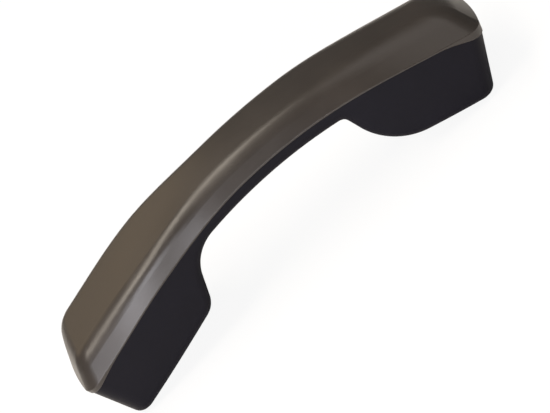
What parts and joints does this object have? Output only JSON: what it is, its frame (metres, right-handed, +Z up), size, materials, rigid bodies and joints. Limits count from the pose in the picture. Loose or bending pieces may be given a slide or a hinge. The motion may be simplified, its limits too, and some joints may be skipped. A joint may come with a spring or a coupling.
{
  "type": "telephone handset",
  "caption": "Arched telephone handset with a grey bevelled back cover, a black inner cover with ear and mouth cups, a receiver, a microphone and a modular cord jack.",
  "frame": {"origin": "on the surface the two cups stand on, midway between the two ends and on the middle plane", "axes": "+X towards the ear end, +Y across the handset, +Z up out of the back cover, which arches over"},
  "size_m": [0.2078, 0.0474, 0.0527],
  "materials": {
    "outer_cover": "fine moulded texture, dark warm grey, satin",
    "inner_cover": "fine moulded texture, black",
    "zinc_screw": "zinc plated",
    "screw_plugs": "black, matte",
    "receiver_basket": "black moulding",
    "receiver_front_cover": "pressed, satin",
    "diaphragm_ring": "pressed fibre board",
    "diaphragm": "thin amber film",
    "voice_coil": "enamelled copper winding",
    "soft_steel": "turned, plated",
    "receiver_magnet": "nickel plated magnet",
    "circuit_board": "glass epoxy with green solder mask",
    "foam": "closed cell foam",
    "cloth": "woven acoustic cloth",
    "felt": "black felt",
    "boot": "soft rubber",
    "microphone_can": "drawn, bright",
    "microphone_sleeve": "natural white",
    "jack_housing": "black moulding",
    "jack_contacts": "gold plated spring wire",
    "ballast_bar": "cut steel bar, oiled",
    "leads": "insulated stranded lead"
  },
  "bodies": {
    "handset": {"outer_cover": "outer_cover", "inner_cover": "inner_cover", "case_screws": "zinc_screw", "screw_plugs": "screw_plugs", "receiver_basket": "receiver_basket", "receiver_front_cover": "receiver_front_cover", "diaphragm_ring": "diaphragm_ring", "receiver_pole_plate": "soft_steel", "receiver_magnet": "receiver_magnet", "receiver_yoke": "soft_steel", "receiver_terminal_board": "circuit_board", "receiver_pad": "foam", "receiver_gasket": "foam", "receiver_cloth": "cloth", "microphone_boot": "boot", "microphone_felt": "felt", "microphone_can": "microphone_can", "microphone_sleeve": "microphone_sleeve", "microphone_board": "circuit_board", "jack_housing": "jack_housing", "jack_contacts": "jack_contacts", "jack_board": "circuit_board", "jack_board_screws": "zinc_screw", "ballast_bar": "ballast_bar", "ballast_screws": "zinc_screw", "receiver_wires": "leads", "microphone_wires": "leads"},
    "receiver_cone": {"diaphragm": "diaphragm", "voice_coil": "voice_coil"}
  },
  "joints": [
    {"name": "diaphragm_travel", "type": "slide", "parent": "handset", "child": "receiver_cone", "axis": [-0.2689, 0, -0.9632], "range_m": [-0.00025, 0.00025], "stiffness_N_per_m": 480}
  ]
}
